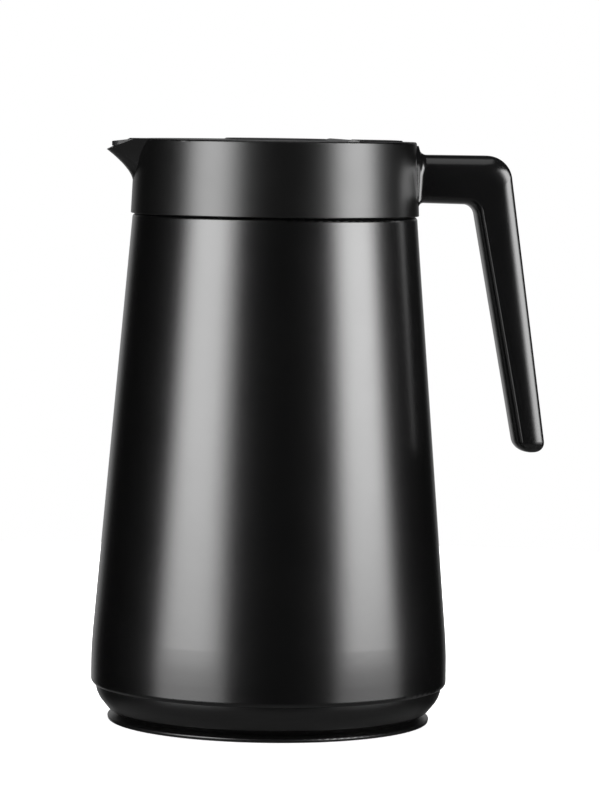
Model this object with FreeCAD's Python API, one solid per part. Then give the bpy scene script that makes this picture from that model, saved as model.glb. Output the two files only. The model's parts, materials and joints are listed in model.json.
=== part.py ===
import FreeCAD, Part
import math
import os
from FreeCAD import Vector

# Thermal jug for drip coffee. Millimetres, +Z up, origin on the axis in the plane that the jug stands on.
# The spout points to -X and the handle to +X, and the jug is the same on both sides of the XZ plane.

# Clearances
RUNNING_FIT = 0.06
SOFT_GAP = 0.3
SLIDE_GAP = 0.5
HINGE_GAP = 0.6
SIDE_GAP = 0.4
SEAT_GAP = 0.1

# Rounds that several pieces share
FINE_ROUND = 0.3
EDGE_ROUND = 0.5
SOFT_ROUND = 0.8
CORNER_ROUND = 1.0
INSIDE_ROUND = 2.0

# Longest share of a straight side that one round takes, beside another round and beside a sharp corner
SHARED_SIDE = 0.49
WHOLE_SIDE = 0.98

# Base: a flared foot under a rounded cup
FOOT_HEIGHT = 2.2
FOOT_INSET = 6.05
FOOT_LIP = 1.3
FOOT_DRAFT = 0.3
FOOT_RIB = 1.6
WAIST_INSET = 10.0
CUP_HEIGHT = 10.8
CUP_FOOT_INSET = 6.4
CUP_UNDERCUT = 2.0
CUP_WALL = 2.4
CUP_SETBACK = 1.7
CUP_BELLY_INSET = 1.9
CUP_BELLY_DROP = 3.4
CUP_ROUND = 10.0
CUP_BEAD = 2.0
RIB_INSET = 8.2
RIB_WIDTH = 2.0

# Outer shell of coated steel: a short upright band, a long cone, a shoulder and a neck
SHELL_RADIUS = 64.75
SHELL_HEIGHT = 170.6
SHELL_WALL = 0.7
SHELL_BAND = 13.0
SHELL_BAND_BEND = 180.0
SHELL_BEND = 1.8
SHELL_RIM_WIDTH = 4.5
SHOULDER_RADIUS = 51.5
SHOULDER_BEND = 1.2
NECK_RADIUS = 44.9
NECK_HEIGHT = 10.15
NECK_BEND = 1.0

# Inner vessel of bare steel, and what closes the vacuum space
VESSEL_WALL = 0.6
VACUUM_GAP = 6.2
VACUUM_FLOOR = 14.0
VESSEL_BEND = 9.0
VESSEL_SHOULDER = 6.4
VESSEL_SHOULDER_BEND = 4.0
VESSEL_NECK_DROP = 2.1
MOUTH_RADIUS = 42.0
PAN_RISE = 3.4
PAN_MARGIN = 7.5
PAN_BEND = 2.0
SEAL_OFF_RADIUS = 7.0
SEAL_OFF_HEIGHT = 2.2
GETTER_RADIUS = 5.0
GETTER_HEIGHT = 2.0
GETTER_OFFSET = 25.0
NECK_GASKET_HEIGHT = 1.2

# Collar with the spout
SEAM = 0.4
SEAM_DEPTH = 1.9
COLLAR_HEIGHT = 26.75
COLLAR_FOOT_RADIUS = 52.2
COLLAR_WALL = 2.4
RIM_RADIUS = 50.95
RIM_ROUND = 0.8
POCKET_WALL = 2.8
POCKET_ROOF = 2.8
LEDGE = 2.0
LEDGE_RADIUS = 42.6
COLLAR_TUBE = 1.3
SPOUT_REACH = 9.8
SPOUT_RISE = 11.3
SPOUT_TIP_DROP = 3.85
SPOUT_LIP_ANGLE = 24.0
SPOUT_FLARE = 1.55
SPOUT_WALL = 1.5
SPOUT_NOSE_LOW = 16.0
SPOUT_NOSE_TOP = 8.0
SPOUT_HALF_ANGLE = 40.0
SPOUT_STEPS = 6

# Handle: an arm from the collar and a slanting grip with a free end
HANDLE_WIDTH = 20.0
HANDLE_ROUND = 3.0
ARM_DROP = 4.5
ARM_HEIGHT = 17.45
ARM_REACH = 84.3
GRIP_DROP = 107.7
GRIP_TOP_WIDTH = 13.8
GRIP_END_WIDTH = 9.8
GRIP_SLANT = 0.141
GRIP_OUTER_ROUND = 8.8
GRIP_INNER_ROUND = 4.5
GRIP_END_ROUND = 3.6
FLARE_TOP = 2.9
FLARE_LOW = 2.2
FLARE_STEP = 0.25
TONGUE_WIDTH = 10.0
TONGUE_HEIGHT = 5.0
TONGUE_DROP = 7.6
SCREW_RADIUS = 1.75
SCREW_LENGTH = 16.0
SCREW_HEAD_RADIUS = 3.0
SCREW_HEAD_HEIGHT = 1.8
SCREW_SPREAD = 11.0
SCREW_EDGE = 2.5

# Lid: a plug in the neck, a wall inside the collar and a hinge barrel across it
LID_WALL = 1.8
LID_FLOOR = 2.0
PLUG_RADIUS = 41.0
PLUG_DEPTH = 15.8
LID_GASKET_HEIGHT = 3.0
LID_GASKET_RISE = 4.5
LID_GASKET_GROOVE = 0.9
LID_REAR_DROP = 0.1
POUR_WIDTH = 20.0
POUR_SILL = 2.8
HINGE_X = 24.0
HINGE_DROP = 3.5
BARREL_RADIUS = 4.2
PIN_RADIUS = 1.5
PIN_LENGTH = 76.0
BEAM_HEIGHT = 4.0
DECK_THICKNESS = 2.2

# Flap over the front of the lid
FLAP_RISE = 0.1
FLAP_HEIGHT = 3.5
FLAP_SKIN = 1.7
FLAP_RIM = 4.8
FLAP_ROUND = 1.2
FLAP_REAR_WALL = 2.0
FLAP_SEAL_HEIGHT = 0.8
FLAP_SEAL_WIDTH = 2.2
BOSS_RADIUS = 18.0
BOSS_RISE = 0.6
EAR_OFFSET = 16.0
EAR_WIDTH = 6.4
BEAK_REACH = 59.3
BEAK_THICKNESS = 1.7
BEAK_DROP = 1.2
BEAK_SAG = 0.3
BEAK_BEND = 20.0

# Thumb lever on the hinge pin
LEVER_WIDTH = 30.0
LEVER_THICKNESS = 2.4
LEVER_RISE = 0.6
LEVER_FALL = 0.1
HUB_WIDTH = 12.0
FINGER_THICKNESS = 2.6
FINGER_DROP = 3.5
FINGER_TIP = 4.6
FINGER_DIP = 0.5
FINGER_BEND = 8.0
FORK_PLAY = 1.0
GROOVE_COUNT = 4
GROOVE_PITCH = 2.6
GROOVE_RADIUS = 0.8
GROOVE_DEPTH = 0.4

# Pouring valve in the lid's floor, on the jug's axis
VALVE_HOLE_RADIUS = 9.0
VALVE_RADIUS = 12.0
VALVE_THICKNESS = 2.0
VALVE_SEAL_HEIGHT = 1.2
VALVE_SPIGOT = 2.2
STEM_RADIUS = 2.5
STEM_TIP_RADIUS = 1.6
CAP_RADIUS = 4.6
CAP_HEIGHT = 1.5
CAP_SKIN = 0.5
CAP_ROUND = 0.6
GUIDE_HEIGHT = 2.5
GUIDE_WIDTH = 9.0
GUIDE_BOSS_RADIUS = 7.0
GUIDE_POST_RADIUS = 3.5
GUIDE_POST_OFFSET = 32.0
GUIDE_RISE = 14.0
GUIDE_SCREW_RADIUS = 1.3
GUIDE_SCREW_LENGTH = 8.0
GUIDE_HEAD_RADIUS = 2.6
GUIDE_HEAD_HEIGHT = 1.6
SPRING_RADIUS = 5.2
SPRING_WIRE = 0.9
SPRING_TURNS = 4.5
SPRING_SAMPLES = 24

# Levels and radii worked out from the sizes above
SHELL_BOTTOM = FOOT_HEIGHT + CUP_HEIGHT
FOOT_RADIUS = SHELL_RADIUS - FOOT_INSET
WAIST_RADIUS = SHELL_RADIUS - WAIST_INSET
CUP_FOOT_RADIUS = SHELL_RADIUS - CUP_FOOT_INSET
RIB_RADIUS = WAIST_RADIUS - RIB_INSET
SHOULDER = SHELL_BOTTOM + SHELL_HEIGHT
COLLAR_BOTTOM = SHOULDER + SEAM
RIM = COLLAR_BOTTOM + COLLAR_HEIGHT
NECK_TOP = SHOULDER + NECK_HEIGHT
LIP_TOP = NECK_TOP + VESSEL_WALL
LEDGE_BOTTOM = LIP_TOP + NECK_GASKET_HEIGHT
LEDGE_TOP = LEDGE_BOTTOM + LEDGE
COLLAR_BORE = RIM_RADIUS - COLLAR_WALL
POCKET_RADIUS = COLLAR_FOOT_RADIUS - POCKET_WALL
POCKET_TOP = LEDGE_TOP - POCKET_ROOF
PAN_BOTTOM = SHELL_BOTTOM + PAN_RISE
PAN_TOP = SHELL_BOTTOM + SHELL_BAND - PAN_MARGIN
VESSEL_BOTTOM = SHELL_BOTTOM + VACUUM_FLOOR
ARM_TOP = RIM - ARM_DROP
ARM_BOTTOM = ARM_TOP - ARM_HEIGHT
SCREW_LEVEL = ARM_BOTTOM + SCREW_EDGE
SCREW_SEAT = math.sqrt(POCKET_RADIUS ** 2 - (SCREW_SPREAD / 2 + SCREW_HEAD_RADIUS) ** 2)
LID_RADIUS = COLLAR_BORE - SLIDE_GAP
LID_BORE = LID_RADIUS - LID_WALL
FLOOR_BOTTOM = LEDGE_TOP - PLUG_DEPTH
FLOOR_TOP = FLOOR_BOTTOM + LID_FLOOR
FLAP_TOP = RIM + FLAP_RISE
FLAP_BOTTOM = FLAP_TOP - FLAP_HEIGHT
FLAP_RADIUS = COLLAR_BORE - HINGE_GAP
LID_WALL_TOP = FLAP_BOTTOM - FLAP_SEAL_HEIGHT - SEAT_GAP
LID_REAR_TOP = RIM - LID_REAR_DROP
HINGE_Z = RIM - HINGE_DROP
BARREL_TOP = HINGE_Z + BARREL_RADIUS
FLAP_REAR = HINGE_X - BARREL_RADIUS - HINGE_GAP
BEAM_TOP = HINGE_Z - BARREL_RADIUS - SOFT_GAP
DECK_FRONT = HINGE_X + BARREL_RADIUS + HINGE_GAP
GUIDE_BOTTOM = FLOOR_TOP + GUIDE_RISE
GUIDE_TOP = GUIDE_BOTTOM + GUIDE_HEIGHT
VALVE_BOTTOM = FLOOR_TOP + SEAT_GAP + VALVE_SEAL_HEIGHT
VALVE_TOP = VALVE_BOTTOM + VALVE_THICKNESS
FINGER_TOP = HINGE_Z - FINGER_DROP
CAP_BOTTOM = FINGER_TOP + SLIDE_GAP


def rounded_wire(corners):
    """Closed wire in the XZ plane through (x, z, radius) corners, each rounded by its radius."""
    places = [Vector(x, 0, z) for x, z, _ in corners]
    radii = [radius for _, _, radius in corners]
    bends = []
    for i, place in enumerate(places):
        after = (i + 1) % len(places)
        back = places[i - 1] - place
        ahead = places[after] - place
        half = back.getAngle(ahead) / 2
        room = min(back.Length * (SHARED_SIDE if radii[i - 1] else WHOLE_SIDE),
                   ahead.Length * (SHARED_SIDE if radii[after] else WHOLE_SIDE))
        back.normalize()
        ahead.normalize()
        reach = min(radii[i] / math.tan(half), room)
        radius = reach * math.tan(half)
        inward = (back + ahead).normalize() if radii[i] else Vector()
        middle = place + inward * (radius / math.sin(half) - radius)
        bends.append((place + back * reach, middle, place + ahead * reach))
    edges = []
    for i, (start, middle, end) in enumerate(bends):
        edges.append(Part.LineSegment(bends[i - 1][2], start).toShape())
        if radii[i]:
            edges.append(Part.Arc(start, middle, end).toShape())
    return Part.Wire(edges)


def revolved(corners):
    """Solid turned about the Z axis from (radius, z, round) corners."""
    return Part.Face(rounded_wire(corners)).revolve(Vector(), Vector(0, 0, 1), 360)


def extruded(corners, width):
    """Solid of an XZ outline, as wide as given and centred on the XZ plane."""
    wire = rounded_wire(corners)
    wire.translate(Vector(0, -width / 2, 0))
    return Part.Face(wire).extrude(Vector(0, width, 0))


def disc(radius, low, high, x=0.0, y=0.0):
    """Upright cylinder between two levels."""
    return Part.makeCylinder(radius, high - low, Vector(x, y, low))


def ring(inner, outer, low, high):
    """Upright tube between two levels."""
    return disc(outer, low, high).cut(disc(inner, low, high))


def block(x_low, x_high, y_low, y_high, z_low, z_high):
    """Box between six planes."""
    size = (x_high - x_low, y_high - y_low, z_high - z_low)
    return Part.makeBox(*size, Vector(x_low, y_low, z_low))


def rod(radius, y_low, y_high, x, z):
    """Cylinder along Y."""
    return Part.makeCylinder(radius, y_high - y_low, Vector(x, y_low, z), Vector(0, 1, 0))


def both_sides(shape):
    """A shape and its mirror image across the XZ plane."""
    return shape.fuse(shape.mirror(Vector(), Vector(0, 1, 0)))


def sheet(line, wall):
    """Corners of a sheet: a line of (radius, z, bend) corners, and the same line one wall to its left."""
    places = [Vector(r, z, 0) for r, z, _ in line]
    runs = [(b - a).normalize() for a, b in zip(places, places[1:])]
    inner = []
    for i, (r, z, bend) in enumerate(line):
        before = runs[max(i - 1, 0)]
        after = runs[min(i, len(runs) - 1)]
        normals = Vector(-before.y, before.x, 0) + Vector(-after.y, after.x, 0)
        shift = normals * (2 * wall / normals.Length ** 2)
        turn = before.cross(after).z
        inner_bend = max(bend - math.copysign(wall, turn), 0) if bend else 0
        inner.append((r + shift.x, z + shift.y, inner_bend))
    return line + inner[::-1]


def collar_radius(z):
    """Outer radius of the collar at a level."""
    share = (z - COLLAR_BOTTOM) / COLLAR_HEIGHT
    return COLLAR_FOOT_RADIUS + share * (RIM_RADIUS - COLLAR_FOOT_RADIUS)


def foot_plate():
    plate = revolved([(0, 0, 0), (FOOT_RADIUS - FOOT_DRAFT, 0, FINE_ROUND),
                      (FOOT_RADIUS, FOOT_LIP, EDGE_ROUND), (WAIST_RADIUS, FOOT_HEIGHT, 0),
                      (0, FOOT_HEIGHT, 0)])
    rib = ring(RIB_RADIUS - RIB_WIDTH / 2, RIB_RADIUS + RIB_WIDTH / 2, FOOT_HEIGHT, FOOT_HEIGHT + FOOT_RIB)
    return plate.fuse(rib).removeSplitter()


def base_cup():
    spigot = SHELL_RADIUS - SHELL_RIM_WIDTH - SOFT_GAP
    bead = spigot + SOFT_GAP + SHELL_WALL
    bead_level = SHELL_BOTTOM + SHELL_WALL + SOFT_GAP
    bead_top = bead_level + CUP_BEAD
    inside = spigot - CUP_WALL
    top_radius = SHELL_RADIUS - CUP_SETBACK
    belly = SHELL_RADIUS - CUP_BELLY_INSET
    floor = FOOT_HEIGHT + CUP_WALL
    cup = revolved([(0, FOOT_HEIGHT, 0), (WAIST_RADIUS, FOOT_HEIGHT, 0),
                    (CUP_FOOT_RADIUS, FOOT_HEIGHT + CUP_UNDERCUT, CORNER_ROUND),
                    (belly, SHELL_BOTTOM - CUP_BELLY_DROP, CUP_ROUND), (top_radius, SHELL_BOTTOM, 0),
                    (spigot, SHELL_BOTTOM, 0), (spigot, bead_level, 0), (bead, bead_level + CUP_BEAD / 4, 0),
                    (spigot, bead_top, 0), (inside, bead_top, 0), (inside, floor, INSIDE_ROUND),
                    (0, floor, 0)])
    groove_half = RIB_WIDTH / 2 + SEAT_GAP
    groove_top = FOOT_HEIGHT + FOOT_RIB + SEAT_GAP
    return cup.cut(ring(RIB_RADIUS - groove_half, RIB_RADIUS + groove_half, FOOT_HEIGHT, groove_top))


def outer_shell():
    line = [(SHELL_RADIUS - SHELL_RIM_WIDTH, SHELL_BOTTOM, 0), (SHELL_RADIUS, SHELL_BOTTOM, SHELL_BEND),
            (SHELL_RADIUS, SHELL_BOTTOM + SHELL_BAND, SHELL_BAND_BEND),
            (SHOULDER_RADIUS, SHOULDER, SHOULDER_BEND), (NECK_RADIUS, SHOULDER, NECK_BEND),
            (NECK_RADIUS, NECK_TOP, 0)]
    return revolved(sheet(line, SHELL_WALL))


def inner_vessel():
    slope = (SHELL_RADIUS - SHOULDER_RADIUS) / (SHELL_HEIGHT - SHELL_BAND)
    shoulder_low = SHOULDER - VESSEL_SHOULDER
    low_radius = SHELL_RADIUS - SHELL_WALL - VACUUM_GAP
    top_radius = low_radius - slope * (shoulder_low - VESSEL_BOTTOM)
    neck = MOUTH_RADIUS + VESSEL_WALL
    line = [(0, VESSEL_BOTTOM, 0), (low_radius, VESSEL_BOTTOM, VESSEL_BEND),
            (top_radius, shoulder_low, VESSEL_SHOULDER_BEND),
            (neck, SHOULDER - VESSEL_NECK_DROP, INSIDE_ROUND), (neck, NECK_TOP, 0),
            (NECK_RADIUS, NECK_TOP, 0)]
    return revolved(sheet(line, VESSEL_WALL))


def vacuum_pan():
    radius = SHELL_RADIUS - SHELL_WALL
    line = [(0, PAN_BOTTOM, 0), (radius, PAN_BOTTOM, PAN_BEND), (radius, PAN_TOP, 0)]
    return revolved(sheet(line, SHELL_WALL))


def seal_off_cap():
    low = PAN_BOTTOM - SEAL_OFF_HEIGHT
    return revolved([(0, low, 0), (SEAL_OFF_RADIUS, low, SOFT_ROUND), (SEAL_OFF_RADIUS, PAN_BOTTOM, 0),
                     (0, PAN_BOTTOM, 0)])


def getter():
    low = PAN_BOTTOM + SHELL_WALL
    return disc(GETTER_RADIUS, low, low + GETTER_HEIGHT, GETTER_OFFSET)


def neck_gasket():
    return ring(MOUTH_RADIUS + SOFT_GAP, NECK_RADIUS, LIP_TOP, LEDGE_BOTTOM)


def spout_section(level, nose, nose_radius):
    """Plan outline of the spout at a level: a round nose, straight sides, closed inside the collar."""
    angle = math.radians(SPOUT_HALF_ANGLE)
    back = COLLAR_BORE - 2 * SPOUT_NOSE_TOP
    centre = nose - nose_radius
    side = Vector(-centre - nose_radius * math.sin(angle), nose_radius * math.cos(angle), level)
    root = Vector(-back, side.y - (side.x + back) * math.tan(angle), level)
    tip = Vector(-nose, 0, level)
    other_side = Vector(side.x, -side.y, level)
    other_root = Vector(root.x, -root.y, level)
    return Part.Wire([Part.LineSegment(root, side).toShape(), Part.Arc(side, tip, other_side).toShape(),
                      Part.LineSegment(other_side, other_root).toShape(),
                      Part.LineSegment(other_root, root).toShape()])


def spout_body(inset, base):
    """Flaring body of the spout, drawn in by an inset and starting a little above its lowest level."""
    low = RIM - SPOUT_TIP_DROP - SPOUT_RISE
    top_share = (RIM - low) / SPOUT_RISE
    sections = []
    for step in range(SPOUT_STEPS + 1):
        share = top_share * step / SPOUT_STEPS
        nose = collar_radius(low) - inset + SPOUT_REACH * share ** SPOUT_FLARE
        nose_radius = SPOUT_NOSE_LOW + share * (SPOUT_NOSE_TOP - SPOUT_NOSE_LOW) - inset
        sections.append(spout_section(low + base + share * SPOUT_RISE, nose, nose_radius))
    flare = Part.makeLoft(sections, True)
    upright = Part.Face(sections[-1]).extrude(Vector(0, 0, COLLAR_WALL))
    return flare.fuse(upright)


def above_lip():
    """Space over the slanting lip of the spout."""
    tip_x = -collar_radius(RIM) - SPOUT_REACH
    slope = math.tan(math.radians(SPOUT_LIP_ANGLE))
    run = SPOUT_TIP_DROP / slope
    outside = SPOUT_REACH
    width = 4 * SPOUT_NOSE_LOW
    return extruded([(tip_x + run, RIM, 0), (tip_x - outside, RIM - SPOUT_TIP_DROP - outside * slope, 0),
                     (tip_x - outside, RIM + outside, 0), (tip_x + run, RIM + outside, 0)], width)


def collar_solid():
    """Everything inside the collar's outer wall."""
    return revolved([(0, SHOULDER, 0), (collar_radius(SHOULDER), SHOULDER, 0), (RIM_RADIUS, RIM, 0),
                     (0, RIM, 0)])


def handle_tongue(gap):
    """Tongue of the handle that hooks into the collar's wall."""
    half = TONGUE_WIDTH / 2 + gap
    top = ARM_TOP - TONGUE_DROP + TONGUE_HEIGHT / 2
    start = COLLAR_BORE + SOFT_GAP
    return block(start, start + 2 * COLLAR_WALL, -half, half, top - TONGUE_HEIGHT - gap, top + gap)


def handle_screw(y, radius, start, end):
    """Cylinder along X at the place of a handle screw."""
    return Part.makeCylinder(radius, end - start, Vector(start, y, SCREW_LEVEL), Vector(1, 0, 0))


def screw_sides():
    return (-SCREW_SPREAD / 2, SCREW_SPREAD / 2)


def collar():
    foot = COLLAR_FOOT_RADIUS - SEAM_DEPTH
    tube = NECK_RADIUS + SIDE_GAP
    tube_low = SHOULDER + NECK_BEND
    body = revolved([(LEDGE_RADIUS, LEDGE_BOTTOM, 0), (tube, LEDGE_BOTTOM, 0), (tube, tube_low, 0),
                     (tube + COLLAR_TUBE, tube_low, 0), (tube + COLLAR_TUBE, POCKET_TOP, 0),
                     (POCKET_RADIUS, POCKET_TOP, 0), (POCKET_RADIUS, SHOULDER, 0), (foot, SHOULDER, 0),
                     (COLLAR_FOOT_RADIUS, COLLAR_BOTTOM, FINE_ROUND), (RIM_RADIUS, RIM, RIM_ROUND),
                     (COLLAR_BORE, RIM, RIM_ROUND / 2), (COLLAR_BORE, LEDGE_TOP, 0),
                     (LEDGE_RADIUS, LEDGE_TOP, EDGE_ROUND)])
    mouth = disc(COLLAR_BORE, LEDGE_TOP, RIM + 2 * SPOUT_REACH)
    core = disc(COLLAR_BORE, FLOOR_BOTTOM, LEDGE_TOP)
    spout = spout_body(0.0, 0.0).cut(mouth).cut(core).cut(above_lip())
    channel = spout_body(SPOUT_WALL, SPOUT_WALL)
    above_rim = disc(2 * RIM_RADIUS, RIM, RIM + 2 * SPOUT_REACH)
    body = body.fuse(spout.cut(above_rim)).cut(channel.cut(core)).cut(handle_tongue(SEAT_GAP))
    for y in screw_sides():
        body = body.cut(handle_screw(y, SCREW_RADIUS + SEAT_GAP, SCREW_SEAT, COLLAR_FOOT_RADIUS))
        body = body.cut(handle_screw(y, SCREW_HEAD_RADIUS + SEAT_GAP, tube + COLLAR_TUBE, SCREW_SEAT))
    return body.removeSplitter()


def handle():
    end = ARM_TOP - GRIP_DROP
    outer_end = ARM_REACH + GRIP_SLANT * GRIP_DROP
    root_top = collar_radius(ARM_TOP) + FLARE_STEP
    root_low = collar_radius(ARM_BOTTOM) + FLARE_STEP
    inside = COLLAR_BORE - COLLAR_WALL
    inner_top = ARM_REACH + GRIP_SLANT * ARM_HEIGHT - GRIP_TOP_WIDTH
    outline = [(inside, ARM_TOP + FLARE_TOP, 0), (root_top, ARM_TOP + FLARE_TOP, 0),
               (root_top, ARM_TOP, FLARE_TOP), (ARM_REACH, ARM_TOP, GRIP_OUTER_ROUND),
               (outer_end, end, GRIP_END_ROUND), (outer_end - GRIP_END_WIDTH, end, GRIP_END_ROUND),
               (inner_top, ARM_BOTTOM, GRIP_INNER_ROUND),
               (root_low, ARM_BOTTOM, FLARE_LOW), (root_low, ARM_BOTTOM - FLARE_LOW, 0),
               (inside, ARM_BOTTOM - FLARE_LOW, 0)]
    body = extruded(outline, HANDLE_WIDTH)
    edges = []
    for edge in body.Edges:
        box = edge.BoundBox
        on_side = box.YLength < HANDLE_ROUND
        outside = box.Center.x > max(root_top, root_low)
        if on_side and outside:
            edges.append(edge)
    body = body.makeFillet(HANDLE_ROUND, edges).cut(collar_solid())
    body = body.fuse(handle_tongue(0.0))
    for y in screw_sides():
        body = body.cut(handle_screw(y, SCREW_RADIUS, SCREW_SEAT, SCREW_SEAT + SCREW_LENGTH))
    return body.removeSplitter()


def handle_screws():
    screws = []
    for y in screw_sides():
        head = handle_screw(y, SCREW_HEAD_RADIUS, SCREW_SEAT - SCREW_HEAD_HEIGHT, SCREW_SEAT)
        shank = handle_screw(y, SCREW_RADIUS, SCREW_SEAT, SCREW_SEAT + SCREW_LENGTH)
        screws.append(head.fuse(shank))
    return Part.makeCompound(screws)


def hinge_slots():
    """Widths along Y, on one side, that flap ear and lever hub take up on the hinge pin."""
    ear_half = EAR_WIDTH / 2 + SIDE_GAP
    return [(0.0, HUB_WIDTH / 2 + SIDE_GAP), (EAR_OFFSET - ear_half, EAR_OFFSET + ear_half)]


def hinge_lugs():
    """Barrel pieces of the lid body between the moving knuckles, on the beam that carries them."""
    slots = hinge_slots()
    end = LID_RADIUS
    front = HINGE_X - BARREL_RADIUS
    rear = HINGE_X + BARREL_RADIUS
    lugs = block(front, rear, -end, end, BEAM_TOP - BEAM_HEIGHT, BEAM_TOP)
    spans = [(slots[0][1], slots[1][0]), (slots[1][1], end)]
    for low, high in spans:
        web = block(front, rear, low, high, BEAM_TOP, HINGE_Z)
        lug = rod(BARREL_RADIUS, low, high, HINGE_X, HINGE_Z).fuse(web)
        lugs = lugs.fuse(both_sides(lug))
    return lugs


def rear_deck():
    """Fixed deck on both sides of the thumb lever."""
    half = LEVER_WIDTH / 2 + SIDE_GAP
    beyond_ears = hinge_slots()[1][1]
    low = LID_REAR_TOP - DECK_THICKNESS
    side = block(DECK_FRONT, LID_RADIUS, half, LID_RADIUS, low, LID_REAR_TOP)
    return both_sides(side.fuse(block(HINGE_X, LID_RADIUS, beyond_ears, LID_RADIUS, low, LID_REAR_TOP)))


def lid_body():
    plug_bore = PLUG_RADIUS - LID_WALL
    shelf = LEDGE_TOP + LID_WALL
    groove_low = FLOOR_BOTTOM + LID_GASKET_RISE
    groove_high = groove_low + LID_GASKET_HEIGHT
    groove = PLUG_RADIUS - LID_GASKET_GROOVE
    body = revolved([(VALVE_HOLE_RADIUS, FLOOR_BOTTOM, 0), (PLUG_RADIUS, FLOOR_BOTTOM, CORNER_ROUND),
                     (PLUG_RADIUS, groove_low, 0), (groove, groove_low, 0), (groove, groove_high, 0),
                     (PLUG_RADIUS, groove_high, 0), (PLUG_RADIUS, LEDGE_TOP, 0),
                     (LID_RADIUS, LEDGE_TOP, EDGE_ROUND), (LID_RADIUS, LID_WALL_TOP, 0),
                     (LID_BORE, LID_WALL_TOP, 0), (LID_BORE, shelf, SOFT_ROUND),
                     (plug_bore, shelf, CORNER_ROUND), (plug_bore, FLOOR_TOP, INSIDE_ROUND),
                     (VALVE_HOLE_RADIUS, FLOOR_TOP, 0)])
    rear_half = block(HINGE_X, LID_RADIUS, -LID_RADIUS, LID_RADIUS, LID_WALL_TOP, LID_REAR_TOP)
    rear_wall = ring(LID_BORE, LID_RADIUS, LID_WALL_TOP, LID_REAR_TOP).common(rear_half)
    across = hinge_lugs().fuse(rear_deck()).common(disc(LID_BORE + LID_WALL / 2, FLOOR_BOTTOM, BARREL_TOP))
    body = body.fuse(rear_wall).fuse(across)
    for y in guide_sides():
        post = disc(GUIDE_POST_RADIUS, FLOOR_TOP - LID_FLOOR / 2, GUIDE_BOTTOM, 0, y)
        screw_low = GUIDE_TOP - GUIDE_SCREW_LENGTH
        body = body.fuse(post).cut(disc(GUIDE_SCREW_RADIUS, screw_low, GUIDE_BOTTOM, 0, y))
    pour = block(-LID_RADIUS, -plug_bore, -POUR_WIDTH / 2, POUR_WIDTH / 2, LEDGE_TOP + POUR_SILL, FLAP_TOP)
    pin_bore = rod(PIN_RADIUS, -PIN_LENGTH / 2, PIN_LENGTH / 2, HINGE_X, HINGE_Z)
    return body.cut(pour).cut(pin_bore).removeSplitter()


def lid_gasket():
    low = FLOOR_BOTTOM + LID_GASKET_RISE
    return ring(PLUG_RADIUS - LID_GASKET_GROOVE, MOUTH_RADIUS - SOFT_GAP, low, low + LID_GASKET_HEIGHT)


def hinge_pin():
    return rod(PIN_RADIUS, -PIN_LENGTH / 2, PIN_LENGTH / 2, HINGE_X, HINGE_Z)


def flap_beak():
    """Tongue of the flap that lies in the spout and slopes down to its tip."""
    inset = SPOUT_WALL + SLIDE_GAP
    plan = Part.Face(spout_section(FLAP_BOTTOM, BEAK_REACH, SPOUT_NOSE_TOP - inset))
    root = -FLAP_RADIUS + FLAP_RIM
    bend = FLAP_TOP - BEAK_SAG
    tip = FLAP_TOP - BEAK_DROP
    side = extruded([(root, FLAP_TOP - FLAP_SKIN, 0), (root, FLAP_TOP, 0), (-RIM_RADIUS, bend, BEAK_BEND),
                     (-BEAK_REACH, tip, FINE_ROUND), (-BEAK_REACH, tip - BEAK_THICKNESS, FINE_ROUND),
                     (-RIM_RADIUS, bend - FLAP_SKIN, 0)], 4 * SPOUT_NOSE_LOW)
    return plan.extrude(Vector(0, 0, 2 * FLAP_HEIGHT)).common(side)


def flap_knuckles():
    """Two ears on the hinge pin, with the arms that carry the flap."""
    low = EAR_OFFSET - EAR_WIDTH / 2
    high = EAR_OFFSET + EAR_WIDTH / 2
    top = min(FLAP_TOP - FINE_ROUND, BARREL_TOP)
    arm = block(FLAP_REAR - FLAP_REAR_WALL, HINGE_X, low, high, HINGE_Z - PIN_RADIUS, top)
    return both_sides(rod(BARREL_RADIUS, low, high, HINGE_X, HINGE_Z).fuse(arm))


def flap():
    boss_top = FLAP_TOP + BOSS_RISE
    skin_low = FLAP_TOP - FLAP_SKIN
    boss_bore = BOSS_RADIUS - FLAP_SKIN
    rim_bore = FLAP_RADIUS - FLAP_RIM
    plate = revolved([(0, boss_top - FLAP_SKIN, 0), (boss_bore, boss_top - FLAP_SKIN, 0),
                      (boss_bore, skin_low, 0), (rim_bore, skin_low, CORNER_ROUND),
                      (rim_bore, FLAP_BOTTOM, 0),
                      (FLAP_RADIUS, FLAP_BOTTOM, FINE_ROUND), (FLAP_RADIUS, FLAP_TOP, FLAP_ROUND),
                      (BOSS_RADIUS + 2 * BOSS_RISE, FLAP_TOP, EDGE_ROUND),
                      (BOSS_RADIUS, boss_top, EDGE_ROUND), (0, boss_top, 0)])
    slab = disc(FLAP_RADIUS - FLAP_ROUND, FLAP_BOTTOM, skin_low)
    far = 2 * FLAP_RADIUS
    rear_wall = slab.common(block(FLAP_REAR - FLAP_REAR_WALL, FLAP_REAR, -far, far, FLAP_BOTTOM, skin_low))
    plate = plate.fuse(rear_wall).cut(block(FLAP_REAR, far, -far, far, FLAP_BOTTOM - far, FLAP_TOP + far))
    slot_half = HUB_WIDTH / 2 + HINGE_GAP
    slot = block(BOSS_RADIUS - FLAP_SKIN, FLAP_REAR, -slot_half, slot_half, FLAP_BOTTOM, skin_low)
    body = plate.cut(slot).fuse(flap_beak()).fuse(flap_knuckles())
    bore = rod(PIN_RADIUS + RUNNING_FIT, -far, far, HINGE_X, HINGE_Z)
    return body.cut(bore).removeSplitter()


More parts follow.
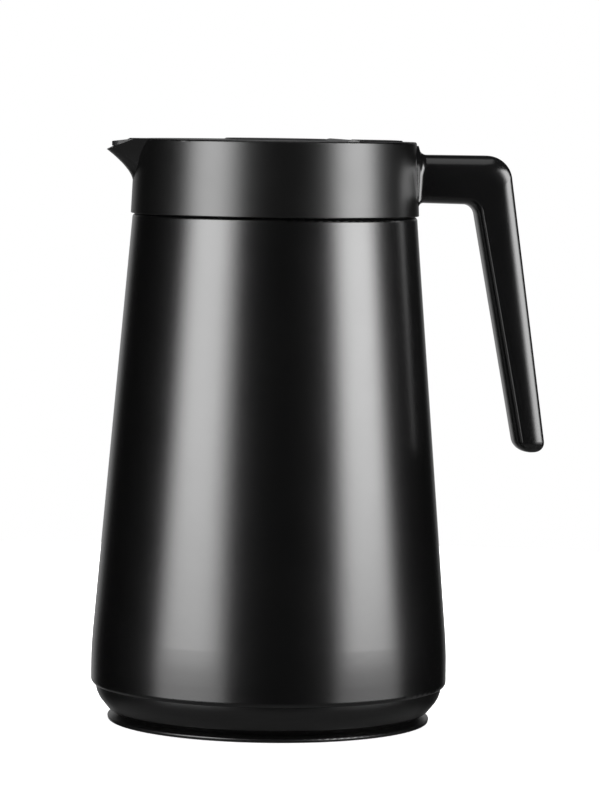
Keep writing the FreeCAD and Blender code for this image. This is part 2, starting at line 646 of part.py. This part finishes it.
def flap_seal():
    middle = LID_RADIUS - LID_WALL / 2
    half = FLAP_SEAL_WIDTH / 2
    far = 2 * FLAP_RADIUS
    strip = ring(middle - half, middle + half, FLAP_BOTTOM - FLAP_SEAL_HEIGHT, FLAP_BOTTOM)
    return strip.cut(block(FLAP_REAR - FLAP_REAR_WALL, far, -far, far, FLAP_BOTTOM - far, FLAP_TOP))


def thumb_lever():
    top = RIM + LEVER_RISE
    back = LID_BORE - SLIDE_GAP
    half = HUB_WIDTH / 2
    hub = rod(BARREL_RADIUS, -half, half, HINGE_X, HINGE_Z)
    plate = extruded([(DECK_FRONT, top - LEVER_THICKNESS, 0), (back, top - LEVER_FALL - LEVER_THICKNESS, 0),
                      (back, top - LEVER_FALL, CORNER_ROUND), (DECK_FRONT, top, EDGE_ROUND)], LEVER_WIDTH)
    plate = plate.common(disc(back, FLAP_BOTTOM - LEVER_THICKNESS, top))
    first = (DECK_FRONT + back) / 2 - GROOVE_PITCH * (GROOVE_COUNT - 1) / 2
    groove_half = LEVER_WIDTH / 2 - 2 * GROOVE_PITCH
    for i in range(GROOVE_COUNT):
        x = first + i * GROOVE_PITCH
        level = top - LEVER_FALL * (x - DECK_FRONT) / (back - DECK_FRONT) + GROOVE_RADIUS - GROOVE_DEPTH
        plate = plate.cut(rod(GROOVE_RADIUS, -groove_half, groove_half, x, level))
    neck_top = top - LEVER_THICKNESS / 2
    neck = block(HINGE_X, DECK_FRONT + LEVER_THICKNESS, -half, half, HINGE_Z - PIN_RADIUS, neck_top)
    drop = FINGER_TOP - FINGER_THICKNESS
    rise = HINGE_Z - PIN_RADIUS / 2
    root = HINGE_X - 2 * PIN_RADIUS
    finger = extruded([(-FINGER_TIP, FINGER_TOP - FINGER_DIP, 0),
                       (-FINGER_TIP, drop - FINGER_DIP, SOFT_ROUND), (FINGER_TIP, drop, FINGER_BEND),
                       (root, rise - FINGER_THICKNESS, 0), (root, rise, 0),
                       (FINGER_TIP, FINGER_TOP, FINGER_BEND)], HUB_WIDTH)
    fork_half = STEM_RADIUS + SIDE_GAP
    below = drop - FINGER_THICKNESS
    above = FINGER_TOP + FINGER_THICKNESS
    fork = disc(fork_half, below, above, FORK_PLAY)
    fork = fork.fuse(block(-2 * FINGER_TIP, FORK_PLAY, -fork_half, fork_half, below, above))
    body = hub.fuse(plate).fuse(neck).fuse(finger.cut(fork))
    bore = rod(PIN_RADIUS + RUNNING_FIT, -half, half, HINGE_X, HINGE_Z)
    return body.cut(bore).removeSplitter()


def valve_stem():
    spigot = VALVE_HOLE_RADIUS - HINGE_GAP
    top = CAP_BOTTOM + CAP_HEIGHT - CAP_SKIN
    low = VALVE_BOTTOM - VALVE_SPIGOT
    return revolved([(0, low, 0), (spigot, low, EDGE_ROUND), (spigot, VALVE_BOTTOM, 0),
                     (VALVE_RADIUS, VALVE_BOTTOM, 0), (VALVE_RADIUS, VALVE_TOP, EDGE_ROUND),
                     (STEM_RADIUS, VALVE_TOP, CORNER_ROUND), (STEM_RADIUS, CAP_BOTTOM, 0),
                     (STEM_TIP_RADIUS, CAP_BOTTOM, 0), (STEM_TIP_RADIUS, top, 0), (0, top, 0)])


def valve_seal():
    return ring(VALVE_HOLE_RADIUS - HINGE_GAP, VALVE_RADIUS, VALVE_BOTTOM - VALVE_SEAL_HEIGHT, VALVE_BOTTOM)


def stem_cap():
    top = CAP_BOTTOM + CAP_HEIGHT
    return revolved([(STEM_TIP_RADIUS, CAP_BOTTOM, 0), (CAP_RADIUS, CAP_BOTTOM, FINE_ROUND),
                     (CAP_RADIUS, top, CAP_ROUND), (0, top, 0), (0, top - CAP_SKIN, 0),
                     (STEM_TIP_RADIUS, top - CAP_SKIN, 0)])


def guide_sides():
    return (-GUIDE_POST_OFFSET, GUIDE_POST_OFFSET)


def valve_guide():
    end = GUIDE_POST_OFFSET + GUIDE_POST_RADIUS
    bar = block(-GUIDE_WIDTH / 2, GUIDE_WIDTH / 2, -end, end, GUIDE_BOTTOM, GUIDE_TOP)
    bar = bar.fuse(disc(GUIDE_BOSS_RADIUS, GUIDE_BOTTOM, GUIDE_TOP))
    bar = bar.cut(disc(STEM_RADIUS + SOFT_GAP, GUIDE_BOTTOM, GUIDE_TOP))
    for y in guide_sides():
        bar = bar.cut(disc(GUIDE_SCREW_RADIUS + SEAT_GAP, GUIDE_BOTTOM, GUIDE_TOP, 0, y))
    return bar.removeSplitter()


def guide_screws():
    screws = []
    for y in guide_sides():
        head = disc(GUIDE_HEAD_RADIUS, GUIDE_TOP, GUIDE_TOP + GUIDE_HEAD_HEIGHT, 0, y)
        screws.append(head.fuse(disc(GUIDE_SCREW_RADIUS, GUIDE_TOP - GUIDE_SCREW_LENGTH, GUIDE_TOP, 0, y)))
    return Part.makeCompound(screws)


def helix_point(turn, low, pitch):
    """Point and unit tangent on the spring's middle line after so many turns."""
    angle = 2 * math.pi * turn
    place = Vector(SPRING_RADIUS * math.cos(angle), SPRING_RADIUS * math.sin(angle), low + pitch * turn)
    climb = pitch / (2 * math.pi)
    tangent = Vector(-SPRING_RADIUS * math.sin(angle), SPRING_RADIUS * math.cos(angle), climb)
    return place, tangent.normalize()


def arc_by_corner(start, corner, end):
    """Arc from start to end whose end tangents meet at the corner."""
    chord_middle = (start + end) * 0.5
    half_turn = (corner - start).getAngle(end - corner) / 2
    radius = (corner - start).Length / math.tan(half_turn)
    rise = (corner - chord_middle).normalize() * (radius * (1 - math.cos(half_turn)))
    return Part.Arc(start, chord_middle + rise, end).toShape()


def biarc(start, start_way, end, end_way):
    """Two arcs from start to end with the given directions at both ends."""
    span = end - start
    ways = start_way + end_way
    a = 2 * (start_way.dot(end_way) - 1)
    b = -2 * span.dot(ways)
    c = span.dot(span)
    reach = (-b - math.sqrt(b * b - 4 * a * c)) / (2 * a)
    first = start + start_way * reach
    last = end - end_way * reach
    joint = (first + last) * 0.5
    return [arc_by_corner(start, first, joint), arc_by_corner(joint, last, end)]


def valve_spring():
    low = VALVE_TOP + SPRING_WIRE / 2 + SEAT_GAP
    high = GUIDE_BOTTOM - SPRING_WIRE / 2 - SEAT_GAP
    pitch = (high - low) / SPRING_TURNS
    quarters = round(SPRING_TURNS * 4)
    path = []
    for quarter in range(quarters):
        start, start_way = helix_point(quarter / 4, low, pitch)
        end, end_way = helix_point((quarter + 1) / 4, low, pitch)
        path += biarc(start, start_way, end, end_way)
    start, way = helix_point(0, low, pitch)
    section = Part.Wire(Part.makeCircle(SPRING_WIRE / 2, start, way))
    shell = Part.BRepOffsetAPI.MakePipeShell(Part.Wire(path))
    shell.add(section)
    shell.build()
    shell.makeSolid()
    count = round(SPRING_TURNS * SPRING_SAMPLES) + 1
    points = [helix_point(i / SPRING_SAMPLES, low, pitch)[0] for i in range(count)]
    apart = SPRING_SAMPLES // 2
    gaps = [(a - b).Length - SPRING_WIRE for i, a in enumerate(points) for b in points[i + apart:]]
    print("valve_spring: least gap to itself", round(min(gaps), 2), "mm")
    return shell.shape()


PIECES = [outer_shell, inner_vessel, vacuum_pan, seal_off_cap, getter, base_cup, foot_plate, collar,
          neck_gasket, handle, handle_screws, lid_body, lid_gasket, hinge_pin, valve_guide, guide_screws,
          valve_spring, flap, flap_seal, thumb_lever, valve_stem, valve_seal, stem_cap]

os.makedirs("parts", exist_ok=True)
for piece in PIECES:
    shape = piece()
    state = "valid" if shape.isValid() else "NOT VALID"
    print(piece.__name__, state, len(shape.Solids), round(shape.Volume, 1))
    shape.exportStep("parts/" + piece.__name__ + ".step")
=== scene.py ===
import json
import math

import bmesh
import bpy
from mathutils import Matrix, Vector


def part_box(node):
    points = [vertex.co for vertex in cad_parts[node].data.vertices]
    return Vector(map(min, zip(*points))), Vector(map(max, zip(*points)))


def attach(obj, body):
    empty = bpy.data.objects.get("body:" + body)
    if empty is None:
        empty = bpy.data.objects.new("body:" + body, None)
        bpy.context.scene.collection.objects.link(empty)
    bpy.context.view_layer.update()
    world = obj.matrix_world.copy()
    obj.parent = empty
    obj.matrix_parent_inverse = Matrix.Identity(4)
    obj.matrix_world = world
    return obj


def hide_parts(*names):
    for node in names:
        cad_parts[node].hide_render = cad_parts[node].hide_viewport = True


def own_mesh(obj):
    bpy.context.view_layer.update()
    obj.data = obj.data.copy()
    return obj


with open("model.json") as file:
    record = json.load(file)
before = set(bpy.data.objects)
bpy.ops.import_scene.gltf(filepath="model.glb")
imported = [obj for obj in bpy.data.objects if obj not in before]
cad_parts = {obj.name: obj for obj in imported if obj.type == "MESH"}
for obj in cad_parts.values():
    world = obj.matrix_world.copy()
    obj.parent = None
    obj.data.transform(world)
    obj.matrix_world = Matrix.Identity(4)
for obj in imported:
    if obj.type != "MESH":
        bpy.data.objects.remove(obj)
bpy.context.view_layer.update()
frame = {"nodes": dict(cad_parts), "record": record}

# Camera, in metres, degrees and millimetres of lens
AZIMUTH = -5.0
DISTANCE = 1.449
EYE_HEIGHT = 0.2202
AIM = Vector((0.0101, 0.0, 0.1166))
ROLL = 0.85
LENS = 179.9

# Soft boxes: directions in degrees round the jug, sizes and places in metres
BOX_DISTANCE = 1.3
BOX_TOP = 1.2
BOX_STEPS = ((0.6, 0.1), (0.9, 0.01), (1.2, -0.35))
BOX_SPACING = 0.03
LEFT_BOX = -56.5
RIGHT_BOX = 62.0
LEFT_RADIANCES = (1.75, 1.8, 1.3)
RIGHT_RADIANCES = (2.2, 2.3, 0.85)
TOP_SIZE = 1.0
TOP_HEIGHT = 1.6
TOP_RADIANCE = 0.5
FILL_SIZE = 1.8
FILL_RADIANCE = 4.0

# World and floor
AMBIENT = 0.004
BACKDROP_START = 0.86
BACKDROP_FULL = 0.99
BACKDROP_LEVEL = 0.35
TABLE_START = -0.35
TABLE_FULL = -0.5
TABLE_LEVEL = 0.075
FLOOR_RADIUS = 0.6
FLOOR_SIDES = 96
FLOOR_DROP = 0.0003
FLOOR_WHITE = 0.85
FLOOR_GLOW = 0.8
GLOW_START = 0.12
GLOW_FULL = 0.5

# Handle, in metres: an arm from the collar and a slanting grip, rounder outside than inside
ARM_TOP = 0.20625
ARM_BOTTOM = 0.18880
ARM_FALL = 0.0004
ARM_REACH = 0.0843
ROOT_X = 0.0492
ROOT_FACE = 0.0515
SIDE_FACE = 0.0500
FLARE_TOP = 0.0032
FLARE_LOW = 0.0024
FLARE_SIDE = 0.0036
GRIP_SLANT = 0.141
GRIP_TOP_WIDTH = 0.0146
GRIP_END_WIDTH = 0.0106
OUTER_BEND = 0.0088
INNER_BEND = 0.0045
OUTER_EDGE_DEPTH = 0.0085
ARM_EDGE_WIDTH = 0.0075
GRIP_EDGE_WIDTH = 0.0030
OUTER_EDGE_SHARE = 0.62
INNER_EDGE_DEPTH = 0.0030
INNER_EDGE_WIDTH = 0.0090
LEAST_EDGE = 0.0004
GRIP_END_ROUND = 0.0042
ARM_STATIONS = 48
BEND_STATIONS = 20
GRIP_STATIONS = 40
END_STATIONS = 12
EDGE_STEPS = 16

# Valve spring, in metres and turns
SPRING_WIRE = 0.0009
SPRING_TURNS = 5.5
CLOSED_TURNS = 0.9
SPRING_STEPS = 48
WIRE_SIDES = 14

# Surfaces: features to the metre, depths in metres, and roughness
COAT_SHADE = (0.0009, 0.0009, 0.00095)
COAT_ROUGHNESS = 0.25
COAT_GLOSS = 0.24
COAT_RANGE = (0.23, 0.28)
COAT_PATCHES = 60.0
PEEL_SCALE = 420.0
PEEL_DEPTH = 0.000012
SPECK_SCALE = 2600.0
SPECK_DEPTH = 0.000006
PLASTIC_SPECULAR = 0.9
PLASTIC_BLUE = 1.04
PLASTIC_PATCHES = 90.0
PLASTIC_SPREAD = 0.03
GRAIN_SCALE = 2400.0
LINE_SCALE = 900.0
LINE_DEPTH = 0.000008
LINE_SPREAD = 0.08
SILICONE_SHADE = (0.11, 0.11, 0.115)
SILICONE_ROUGHNESS = 0.5
SILICONE_RANGE = (0.45, 0.58)
SILICONE_PATCHES = 150.0
SILICONE_DEPTH = 0.001
DUST_SCALE = 2500.0
DUST_DEPTH = 0.000006


def shader_of(material):
    """Principled shader node of a material."""
    return material.node_tree.nodes["Principled BSDF"]


def finish_material(name, colour, roughness, **values):
    """New material with constants set on the shader's own sockets."""
    material = bpy.data.materials.new(name)
    material.use_nodes = True
    inputs = shader_of(material).inputs
    inputs["Base Color"].default_value = (*colour, 1.0)
    inputs["Roughness"].default_value = roughness
    for socket, value in values.items():
        inputs[socket.replace("_", " ")].default_value = value
    return material


def noise(material, scale, detail, stretch=(1.0, 1.0, 1.0)):
    """Noise texture in the object's own metres, so many features to the metre."""
    nodes = material.node_tree.nodes
    links = material.node_tree.links
    place = nodes.new("ShaderNodeTexCoord")
    mapping = nodes.new("ShaderNodeMapping")
    texture = nodes.new("ShaderNodeTexNoise")
    mapping.inputs["Scale"].default_value = stretch
    texture.inputs["Scale"].default_value = scale
    texture.inputs["Detail"].default_value = detail
    links.new(place.outputs["Object"], mapping.inputs["Vector"])
    links.new(mapping.outputs["Vector"], texture.inputs["Vector"])
    return texture.outputs["Fac"]


def ramp(material, value, low, high):
    """Value from 0 to 1 turned into a range."""
    node = material.node_tree.nodes.new("ShaderNodeMapRange")
    node.inputs["To Min"].default_value = low
    node.inputs["To Max"].default_value = high
    material.node_tree.links.new(value, node.inputs["Value"])
    return node.outputs["Result"]


def add_bump(material, layers):
    """Bump in metres of depth, from (height, depth) layers."""
    links = material.node_tree.links
    normal = None
    for height, depth in layers:
        bump = material.node_tree.nodes.new("ShaderNodeBump")
        bump.inputs["Distance"].default_value = depth
        links.new(height, bump.inputs["Height"])
        if normal:
            links.new(normal, bump.inputs["Normal"])
        normal = bump.outputs["Normal"]
    links.new(normal, shader_of(material).inputs["Normal"])


def add_roughness(material, value):
    """Roughness from a texture."""
    material.node_tree.links.new(value, shader_of(material).inputs["Roughness"])


def coated_steel():
    """Satin powder coat: a slight orange peel over fine specks."""
    material = finish_material("powder_coat", COAT_SHADE, COAT_ROUGHNESS, Specular_IOR_Level=1.0,
                               Coat_Weight=1.0, Coat_Roughness=COAT_GLOSS)
    peel = noise(material, PEEL_SCALE, detail=1.0)
    specks = noise(material, SPECK_SCALE, detail=2.0)
    add_bump(material, [(peel, PEEL_DEPTH), (specks, SPECK_DEPTH)])
    add_roughness(material, ramp(material, noise(material, COAT_PATCHES, detail=3.0), *COAT_RANGE))
    return material


def grained_plastic(name, shade, roughness, grain_depth, coat=0.0):
    """Moulded plastic with an etched grain."""
    material = finish_material(name, (shade, shade, shade * PLASTIC_BLUE), roughness,
                               Specular_IOR_Level=PLASTIC_SPECULAR, Coat_Weight=coat,
                               Coat_Roughness=roughness)
    add_bump(material, [(noise(material, GRAIN_SCALE, detail=3.0), grain_depth)])
    patches = noise(material, PLASTIC_PATCHES, detail=4.0)
    add_roughness(material, ramp(material, patches, roughness - PLASTIC_SPREAD, roughness + PLASTIC_SPREAD))
    return material


def metal(name, shade, roughness, stretch):
    """Bare metal with fine lines along one way."""
    material = finish_material(name, shade, roughness, Metallic=1.0)
    lines = noise(material, LINE_SCALE, 4.0, stretch)
    add_bump(material, [(lines, LINE_DEPTH)])
    add_roughness(material, ramp(material, lines, roughness - LINE_SPREAD, roughness + LINE_SPREAD))
    return material


def silicone():
    """Soft grey rubber with a matt skin."""
    material = finish_material("silicone", SILICONE_SHADE, SILICONE_ROUGHNESS, Subsurface_Weight=0.15,
                               Subsurface_Scale=SILICONE_DEPTH, Sheen_Weight=0.2)
    add_bump(material, [(noise(material, DUST_SCALE, detail=2.0), DUST_DEPTH)])
    add_roughness(material, ramp(material, noise(material, SILICONE_PATCHES, detail=3.0), *SILICONE_RANGE))
    return material


FINISHES = {
    "coated_steel": coated_steel(),
    "bare_steel": metal("brushed_steel", (0.62, 0.61, 0.59), 0.26, (1.0, 1.0, 14.0)),
    "sealed_steel": metal("plain_steel", (0.5, 0.49, 0.47), 0.32, (3.0, 1.0, 1.0)),
    "collar_plastic": grained_plastic("collar_plastic", 0.0009, 0.31, 0.000008, coat=0.7),
    "handle_plastic": grained_plastic("handle_plastic", 0.004, 0.2, 0.000004, coat=0.5),
    "base_plastic": grained_plastic("base_plastic", 0.003, 0.3, 0.000008, coat=0.5),
    "lid_plastic": grained_plastic("lid_plastic", 0.016, 0.38, 0.000012),
    "valve_plastic": grained_plastic("valve_plastic", 0.05, 0.4, 0.00001),
    "silicone": silicone(),
    "pin_steel": metal("turned_steel", (0.6, 0.6, 0.6), 0.22, (1.0, 12.0, 1.0)),
    "screw_steel": metal("plated_steel", (0.55, 0.55, 0.55), 0.3, (1.0, 1.0, 6.0)),
    "getter_alloy": metal("sintered_metal", (0.4, 0.4, 0.41), 0.55, (1.0, 1.0, 1.0)),
}
for subpart in frame["record"]["subparts"]:
    mesh = frame["nodes"][subpart["node"]].data
    mesh.materials.clear()
    mesh.materials.append(FINISHES[subpart["material_slot"]])


def around(azimuth, distance, height):
    """Place round the jug: azimuth 0 is in front of it, and 90 on the handle's side."""
    angle = math.radians(azimuth)
    return Vector((math.sin(angle) * distance, -math.cos(angle) * distance, height))


def add_object(name, data):
    """New object in the scene."""
    thing = bpy.data.objects.new(name, data)
    bpy.context.scene.collection.objects.link(thing)
    return thing


def mesh_piece(name, rings, body, node, slot):
    """Smooth piece skinned over rings of points, which rides on a body and stands for a node."""
    mesh = bpy.data.meshes.new(name)
    shape = bmesh.new()
    rows = [[shape.verts.new(point) for point in ring] for ring in rings]
    for row, following in zip(rows, rows[1:]):
        for i in range(len(row)):
            j = (i + 1) % len(row)
            shape.faces.new((row[i], row[j], following[j], following[i]))
    shape.faces.new(rows[0][::-1])
    shape.faces.new(rows[-1])
    bmesh.ops.recalc_face_normals(shape, faces=shape.faces)
    for face in shape.faces:
        face.smooth = True
    shape.to_mesh(mesh)
    shape.free()
    mesh.materials.append(FINISHES[slot])
    piece = add_object(name, mesh)
    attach(piece, body)
    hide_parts(node)
    return piece


def bend_points(before, corner, after, radius, count):
    """Points on the arc that rounds a corner between two neighbours."""
    back = (before - corner).normalized()
    ahead = (after - corner).normalized()
    half = back.angle(ahead) / 2
    centre = corner + (back + ahead).normalized() * (radius / math.sin(half))
    start = corner + back * (radius / math.tan(half)) - centre
    end = corner + ahead * (radius / math.tan(half)) - centre
    turn = start.rotation_difference(end)
    axis, angle = turn.to_axis_angle()
    return [centre + Matrix.Rotation(angle * i / count, 3, axis) @ start for i in range(count + 1)]


def even_points(start, end, count):
    """Points from start to just before end."""
    return [start.lerp(end, i / count) for i in range(count)]


def rounded_ring(outer, inner, half_width, edge, inset):
    """Ring round the line from inner to outer: sides that curve in to the back, and a crowned inner face."""
    way = (outer - inner).normalized()
    depth = (outer - inner).length - 2 * inset
    width = half_width - inset
    side = Vector((0.0, 1.0, 0.0))
    back = (min(OUTER_EDGE_DEPTH, OUTER_EDGE_SHARE * depth), max(edge - inset / 2, LEAST_EDGE))
    front = (INNER_EDGE_DEPTH * width / half_width, INNER_EDGE_WIDTH * width / half_width)
    ring = []
    for turn, (along, across) in enumerate((back, front, front, back)):
        at_back = turn in (0, 3)
        left = 1 if turn < 2 else -1
        middle = inset + (depth - along if at_back else along)
        centre = inner + way * middle + side * left * (width - across)
        for step in range(EDGE_STEPS + 1):
            angle = math.radians(90 * (turn + step / EDGE_STEPS))
            ring.append(centre + way * along * math.cos(angle) + side * across * math.sin(angle))
    return ring


def flare(x, face, size):
    """How far a concave round of that size, starting at the root's face, stands off a straight arm."""
    gone = min(max(x - face, 0.0), size)
    return size - math.sqrt(size ** 2 - (size - gone) ** 2)


def add_handle():
    """Handle skinned over rounded sections, from its flared root to its round free end."""
    low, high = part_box("handle")
    half_width = (high[1] - low[1]) / 2
    end = low[2]
    end_x = ARM_REACH + GRIP_SLANT * (ARM_TOP - end)
    inner_x = ARM_REACH + GRIP_SLANT * (ARM_TOP - ARM_BOTTOM) - GRIP_TOP_WIDTH
    outer = [Vector((ROOT_X, 0, ARM_TOP)), Vector((ARM_REACH, 0, ARM_TOP)), Vector((end_x, 0, end))]
    inner = [Vector((ROOT_X, 0, ARM_BOTTOM)), Vector((inner_x, 0, ARM_BOTTOM - ARM_FALL)),
             Vector((end_x - GRIP_END_WIDTH, 0, end))]
    lines = []
    for line, bend in ((outer, OUTER_BEND), (inner, INNER_BEND)):
        arc = bend_points(*line, bend, BEND_STATIONS)
        cap = arc[-1].lerp(line[2], 1 - GRIP_END_ROUND / (arc[-1].z - end))
        lines.append(even_points(line[0], arc[0], ARM_STATIONS) + arc[:-1]
                     + even_points(arc[-1], cap, GRIP_STATIONS))
        for step in range(END_STATIONS + 1):
            drop = math.sin(math.radians(90 * step / END_STATIONS))
            lines[-1].append(cap.lerp(line[2], drop))
    rings = []
    for i, (top, bottom) in enumerate(zip(*lines)):
        step = max(i - (len(lines[0]) - 1 - END_STATIONS), 0)
        inset = GRIP_END_ROUND * (1 - math.cos(math.radians(90 * step / END_STATIONS)))
        width = half_width + flare(top.x, SIDE_FACE, FLARE_SIDE)
        top = top + Vector((0, 0, flare(top.x, ROOT_FACE, FLARE_TOP)))
        bottom = bottom - Vector((0, 0, flare(bottom.x, ROOT_FACE, FLARE_LOW)))
        turned = min(max((i - ARM_STATIONS) / BEND_STATIONS, 0.0), 1.0)
        edge = ARM_EDGE_WIDTH + turned * (GRIP_EDGE_WIDTH - ARM_EDGE_WIDTH)
        rings.append(rounded_ring(top, bottom, width, edge, inset))
    piece = mesh_piece("grip_body", rings, "jug", "handle", "handle_plastic")
    piece.modifiers.new("even_normals", "WEIGHTED_NORMAL")


def add_spring():
    """Coil spring with closed ends, built at one length; the real one shortens as the valve lifts."""
    low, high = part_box("valve_spring")
    radius = (high[0] - low[0] - SPRING_WIRE) / 2
    travel = high[2] - low[2] - SPRING_WIRE
    closed = SPRING_WIRE * CLOSED_TURNS
    open_pitch = (travel - 2 * closed) / (SPRING_TURNS - 2 * CLOSED_TURNS)
    rings = []
    for i in range(round(SPRING_TURNS * SPRING_STEPS) + 1):
        turn = i / SPRING_STEPS
        inner_turn = min(max(turn - CLOSED_TURNS, 0.0), SPRING_TURNS - 2 * CLOSED_TURNS)
        rise = SPRING_WIRE * (turn - inner_turn) + open_pitch * inner_turn
        angle = 2 * math.pi * turn
        outward = Vector((math.cos(angle), math.sin(angle), 0.0))
        centre = outward * radius + Vector((0, 0, low[2] + SPRING_WIRE / 2 + rise))
        ring = []
        for side in range(WIRE_SIDES):
            roll = 2 * math.pi * side / WIRE_SIDES
            across = outward * math.cos(roll) + Vector((0, 0, math.sin(roll)))
            ring.append(centre + across * (SPRING_WIRE / 2))
        rings.append(ring)
    piece = mesh_piece("closed_spring", rings, "lid", "valve_spring", "pin_steel")
    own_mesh(piece)


def soft_box(name, place, target, width, height, radiance):
    """Area light with an even radiance, turned to a target and not seen by the camera."""
    light = bpy.data.lights.new(name, "AREA")
    light.shape = "RECTANGLE"
    light.size = width
    light.size_y = height
    light.energy = radiance * width * height * math.pi
    lamp = add_object(name, light)
    lamp.location = place
    lamp.rotation_euler = (target - place).to_track_quat("-Z", "Y").to_euler()
    lamp.visible_camera = False
    return lamp


def add_lights():
    """Two tall boxes, each in steps of width and lower edge so that its edges are soft, and two overhead."""
    sides = (("left_box", LEFT_BOX, LEFT_RADIANCES), ("right_box", RIGHT_BOX, RIGHT_RADIANCES))
    for name, azimuth, radiances in sides:
        for step, ((width, bottom), radiance) in enumerate(zip(BOX_STEPS, radiances)):
            middle = (BOX_TOP + bottom) / 2
            place = around(azimuth, BOX_DISTANCE + step * BOX_SPACING, middle)
            soft_box(name, place, Vector((0.0, 0.0, middle)), width, BOX_TOP - bottom, radiance)
    above = Vector((0.0, 0.0, TOP_HEIGHT))
    soft_box("top_box", above, Vector(), TOP_SIZE, TOP_SIZE, TOP_RADIANCE)
    fill = soft_box("fill_box", above, Vector(), FILL_SIZE, FILL_SIZE, FILL_RADIANCE)
    fill.visible_glossy = False


def add_world():
    """White to the camera; otherwise dim, with a pale backdrop behind the jug and a table under it."""
    world = bpy.data.worlds.new("studio")
    bpy.context.scene.world = world
    world.use_nodes = True
    nodes = world.node_tree.nodes
    links = world.node_tree.links
    studio = nodes["Background"]
    white = nodes.new("ShaderNodeBackground")
    for background in (studio, white):
        background.inputs["Color"].default_value = (1.0, 1.0, 1.0, 1.0)
    path = nodes.new("ShaderNodeLightPath")
    mix = nodes.new("ShaderNodeMixShader")
    way = nodes.new("ShaderNodeTexCoord")
    split = nodes.new("ShaderNodeSeparateXYZ")
    backdrop = nodes.new("ShaderNodeMapRange")
    backdrop.interpolation_type = "SMOOTHSTEP"
    backdrop.inputs["From Min"].default_value = BACKDROP_START
    backdrop.inputs["From Max"].default_value = BACKDROP_FULL
    backdrop.inputs["To Min"].default_value = AMBIENT
    backdrop.inputs["To Max"].default_value = BACKDROP_LEVEL
    table = nodes.new("ShaderNodeMapRange")
    table.inputs["From Min"].default_value = TABLE_START
    table.inputs["From Max"].default_value = TABLE_FULL
    table.inputs["To Max"].default_value = TABLE_LEVEL
    level = nodes.new("ShaderNodeMath")
    level.operation = "ADD"
    seen = nodes.new("ShaderNodeMath")
    seen.operation = "MAXIMUM"
    links.new(way.outputs["Generated"], split.inputs["Vector"])
    links.new(split.outputs["Y"], backdrop.inputs["Value"])
    links.new(split.outputs["Z"], table.inputs["Value"])
    links.new(backdrop.outputs["Result"], level.inputs[0])
    links.new(table.outputs["Result"], level.inputs[1])
    links.new(level.outputs["Value"], studio.inputs["Strength"])
    links.new(path.outputs["Is Camera Ray"], seen.inputs[0])
    links.new(path.outputs["Is Transmission Ray"], seen.inputs[1])
    links.new(seen.outputs["Value"], mix.inputs["Fac"])
    links.new(studio.outputs["Background"], mix.inputs[1])
    links.new(white.outputs["Background"], mix.inputs[2])
    links.new(mix.outputs["Shader"], nodes["World Output"].inputs["Surface"])


def add_floor():
    """Pale round floor that glows white for the camera, so that only the jug's shadow shows on it."""
    mesh = bpy.data.meshes.new("floor")
    turns = [2 * math.pi * i / FLOOR_SIDES for i in range(FLOOR_SIDES)]
    rim = [(FLOOR_RADIUS * math.cos(turn), FLOOR_RADIUS * math.sin(turn), 0.0) for turn in turns]
    mesh.from_pydata(rim, [], [range(FLOOR_SIDES)])
    floor = add_object("floor", mesh)
    floor.location.z = -FLOOR_DROP
    material = bpy.data.materials.new("pale_floor")
    material.use_nodes = True
    nodes = material.node_tree.nodes
    links = material.node_tree.links
    nodes.remove(shader_of(material))
    paint = nodes.new("ShaderNodeBsdfDiffuse")
    paint.inputs["Color"].default_value = (FLOOR_WHITE, FLOOR_WHITE, FLOOR_WHITE, 1.0)
    glow = nodes.new("ShaderNodeEmission")
    place = nodes.new("ShaderNodeTexCoord")
    reach = nodes.new("ShaderNodeVectorMath")
    reach.operation = "LENGTH"
    fade = nodes.new("ShaderNodeMapRange")
    fade.interpolation_type = "SMOOTHSTEP"
    fade.inputs["From Min"].default_value = GLOW_START
    fade.inputs["From Max"].default_value = GLOW_FULL
    fade.inputs["To Min"].default_value = FLOOR_GLOW
    path = nodes.new("ShaderNodeLightPath")
    seen = nodes.new("ShaderNodeMath")
    seen.operation = "MULTIPLY"
    both = nodes.new("ShaderNodeAddShader")
    links.new(place.outputs["Object"], reach.inputs[0])
    links.new(reach.outputs["Value"], fade.inputs["Value"])
    links.new(path.outputs["Is Camera Ray"], seen.inputs[0])
    links.new(fade.outputs["Result"], seen.inputs[1])
    links.new(seen.outputs["Value"], glow.inputs["Strength"])
    links.new(paint.outputs["BSDF"], both.inputs[0])
    links.new(glow.outputs["Emission"], both.inputs[1])
    links.new(both.outputs["Shader"], nodes["Material Output"].inputs["Surface"])
    mesh.materials.append(material)
    floor.visible_glossy = False
    floor.visible_shadow = False


def add_camera():
    """Camera on a long lens, aimed at the jug and rolled as the photo is."""
    data = bpy.data.cameras.new("camera")
    data.lens = LENS
    camera = add_object("camera", data)
    camera.location = around(AZIMUTH, DISTANCE, EYE_HEIGHT)
    look = (AIM - camera.location).to_track_quat("-Z", "Y").to_matrix()
    camera.rotation_euler = (look @ Matrix.Rotation(math.radians(ROLL), 3, "Z")).to_euler()
    bpy.context.scene.camera = camera


add_handle()
add_spring()
add_lights()
add_world()
add_floor()
add_camera()
bpy.context.scene.view_settings.view_transform = "Standard"
